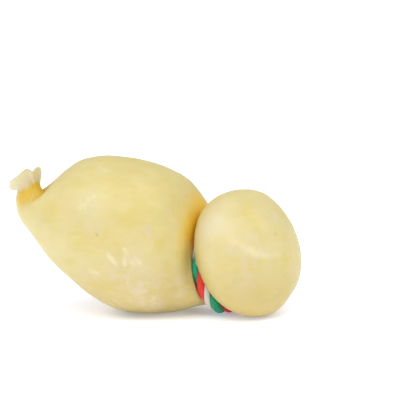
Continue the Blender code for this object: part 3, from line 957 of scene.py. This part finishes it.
def skin_masks(places, points, turn, apart):
    """The masks for the colours and the relief that change over the skin; many of the colours are painted
    light and shade.
    """
    high = points[..., 2]
    gap = head_gap(points)
    shoulder = stretch(SHOULDER, places)[:, None]
    # Painted bounce light: gold on the shoulder close to the head, where the two lobes light each other.
    painted_bounce_gold = bell(gap, GOLD_REACH) * shoulder * ramp(*GOLD_RISES, high)
    painted_bounce_gold = 1.0 - (1.0 - painted_bounce_gold) * (1.0 - patches(points, PAINTED_BOUNCE_GOLD_PATCHES) * shoulder)
    # Painted shade: darker orange in the crease right against the head.
    painted_crease_shade = bell(gap, CREASE_REACH) * shoulder * ramp(*CREASE_RISES, high)
    painted_crease_shade *= CREASE_STRENGTH - CREASE_LOSS * ramp(*CREASE_PALES, high)
    early = places[:, None] + LIP_SHIFT * ramp(*LIP_SHIFT_STARTS, np.abs(turn))
    lip = 1.0 - ramp(*LIP_ENDS, early)
    # Painted bounce light: gold in the nub's throat.
    throat = ramp(*GOLD_STARTS, early) * (1.0 - ramp(*GOLD_ENDS, places))[:, None]
    throat = np.minimum(1.3 * throat, 1.0) * (1.0 - ramp(*CORNER_FADES, np.cos(turn)))
    wall, body = stretch(WALL_SIDE, places)[:, None], (1.0 - ramp(*BODY_ENDS, places))[:, None]
    # Painted shade: on the shoulder beside the cord, towards the bottom, and just over the ground.
    painted_shade = GROOVE_SHADE * bell(apart - CORD_RADIUS, GROOVE_SHADE_REACH) * wall
    painted_shade *= 1.0 - ramp(*GROOVE_SHADE_GOES, high)
    painted_shade = np.maximum(painted_shade, LOW_SHADE * (1.0 - ramp(*LOW_SHADE_GOES, high)))
    painted_shade = np.maximum(painted_shade, UNDERSIDE_SHADE * (1.0 - ramp(*UNDERSIDE_GOES, high)) * body)
    off_nub = ramp(*RELIEF_STARTS, places)[:, None]
    return {
        "painted_bounce_gold": painted_bounce_gold,
        "throat": throat,
        "painted_crease_shade": painted_crease_shade,
        "painted_shade": painted_shade,
        # The lip's own paleness, and painted light on the patches where the light falls strongest.
        "pale": np.maximum(0.9 * lip, patches(points, PAINTED_LIGHT_PATCHES) * (1.0 - painted_bounce_gold)),
        # Painted shade: the lip's inside and edge darker grey-brown, and the rest of the lip a little darker.
        "rim": np.maximum(0.7 * stretch(LIP_INSIDE, places)[:, None], 0.2 * lip),
        "bloom": patches(points, BLOOM_PATCHES),
        "scrape_and_glint": scrapes(points, SCRAPES_AND_GLINTS),
        "wrinkled": shoulder * bell(gap, WRINKLES_REACH),
        "speck": patches(points, SPECKS),
        "glossy": patches(points, GLOSSY_PATCHES),
        "relief": off_nub * ramp(*CLEAR_OF_CORD, apart) * ramp(*CLEAR_OF_GROUND, high),
    }


def make_cheese():
    """The whole cheese, from its nub to its head, in one skin."""
    places, points, turn, apart = build_skin()
    raw = grid_piece("raw_skin", points, skin_masks(places, points, turn, apart))
    return baked(raw, swell_tree(), {"Material": cheese_material()}, "cheese_skin")


def make_strands():
    """The cord's three strands, laid round the same middle line, each with its own size and colour."""
    route = [(point - Vector((MIDDLE_X, 0.0, 0.0))) * MM for point in cord_route()]
    tree = strand_tree()
    group = fibre_group()
    made = []
    for name, turn, offset, depth, width, light, shaded in STRANDS:
        mesh = bpy.data.meshes.new(name)
        mesh.from_pydata(route, [(i, i + 1) for i in range(len(route) - 1)], [])
        values = {"Start": math.radians(CORD_START + turn), "Offset": offset * MM, "Strand Depth": depth * MM,
                  "Strand Width": width * MM,
                  "Material": strand_material(name, group, colour(*light), colour(*shaded))}
        made.append(baked(put(name + "_line", mesh), tree, values, name))
    return made


FLOOR_HALF = 15.0
FLOOR_TINTS = ((252, 253, 255), (250, 251, 254))
FLOOR_GLOW, GLOW_TINT = 0.34, (0.95, 1.0, 1.25, 1.0)
# Painted contact shadows: where the cheese stands, the share of the floor's faint glow that is left there,
# and the distances in metres at which the glow starts to grow and is full.
CONTACT_SHADOWS = (
    ((0.0018, 0.0, 0.0), 0.62, 0.014, 0.032),
    ((0.024, 0.002, 0.0), 0.75, 0.004, 0.014),
    ((0.049, -0.004, 0.0), 0.72, 0.007, 0.023),
)
ROOM_LIGHT = 0.5
DAYLIGHT, DAYLIGHT_ANGLE, DAYLIGHT_HEADING = 1.2, 50.0, (0.3, 0.7, -1.3)
# Soft boxes, aimed at one spot: where they stand, in metres, their power and their size.
SOFT_BOXES = (("left_box", (-1.9, -0.5, 1.2), 6.0, 1.4), ("right_box", (1.3, -0.5, 1.7), 13.0, 1.4))
LIT_SPOT = (0.0, 0.0, 0.03)
LENS_LENGTH, SENSOR_WIDTH = 144.0, 36.0
CAMERA_CLIMB, CAMERA_REACH, CAMERA_TARGET = 8.5, 0.8, (0.0219, -0.0004, 0.0571)


def lay_floor():
    """A plain pale floor with a faint glow of its own, which fades in painted contact shadows where the
    cheese stands.
    """
    mesh = bpy.data.meshes.new("floor")
    corners = [(x * FLOOR_HALF, y * FLOOR_HALF, 0) for x, y in ((-1, -1), (1, -1), (1, 1), (-1, 1))]
    mesh.from_pydata(corners, [], [(0, 1, 2, 3)])
    floor = put("floor", mesh)
    made, tree, shader, place = new_material("pale_floor")
    tint = blended(tree, noise(tree, place, 3.0), *(colour(*tint) for tint in FLOOR_TINTS))
    glow = FLOOR_GLOW
    # Painted contact shadows: the glow fades round each spot where the cheese stands.
    for spot, left, start, full in CONTACT_SHADOWS:
        apart = add(tree, "ShaderNodeVectorMath", {0: place, 1: spot}, operation="DISTANCE")
        glow = times(tree, glow, spread(tree, apart.outputs["Value"], start, full, left))
    feed(tree, shader, {"Base Color": tint, "Roughness": 0.9, "Specular IOR Level": 0.2,
                        "Emission Color": GLOW_TINT, "Emission Strength": glow})
    mesh.materials.append(made)


def shining(direction):
    """The rotation of a lamp that shines in a direction."""
    return Vector(direction).to_track_quat("-Z", "Y").to_euler()


def hang_lights():
    """Soft studio light: a pale room, wide daylight from above and two soft boxes."""
    world = bpy.data.worlds.new("studio")
    world.use_nodes = True
    room = world.node_tree.nodes["Background"]
    feed(world.node_tree, room, {"Color": (1.0, 1.0, 1.0, 1.0), "Strength": ROOM_LIGHT})
    bpy.context.scene.world = world
    daylight = bpy.data.lights.new("daylight", "SUN")
    daylight.energy = DAYLIGHT
    daylight.angle = math.radians(DAYLIGHT_ANGLE)
    put("daylight", daylight).rotation_euler = shining(DAYLIGHT_HEADING)
    for name, stand, power, size in SOFT_BOXES:
        light = bpy.data.lights.new(name, "AREA")
        light.energy = power
        light.size = size
        lamp = put(name, light)
        lamp.location = stand
        lamp.rotation_euler = shining(Vector(LIT_SPOT) - Vector(stand))


def set_camera():
    """The camera, which looks down on the near side a little, and plain display of the colours."""
    lens = bpy.data.cameras.new("camera")
    lens.lens = LENS_LENGTH
    lens.sensor_width = SENSOR_WIDTH
    lens.clip_end = 50.0
    camera = put("camera", lens)
    climb = math.radians(CAMERA_CLIMB)
    away = Vector((0.0, -math.cos(climb), math.sin(climb)))
    camera.location = Vector(CAMERA_TARGET) + away * CAMERA_REACH
    camera.rotation_euler = (math.pi / 2 - climb, 0.0, 0.0)
    bpy.context.scene.camera = camera
    bpy.context.scene.view_settings.view_transform = "Standard"


def main():
    """The stage, then the cheese and its cord, each in its place in the frame."""
    lay_floor()
    hang_lights()
    set_camera()
    cheese = make_cheese()
    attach(cheese, "root")
    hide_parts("cheese")
    for piece in make_strands():
        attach(piece, "root")
        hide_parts("tie_cord")


main()
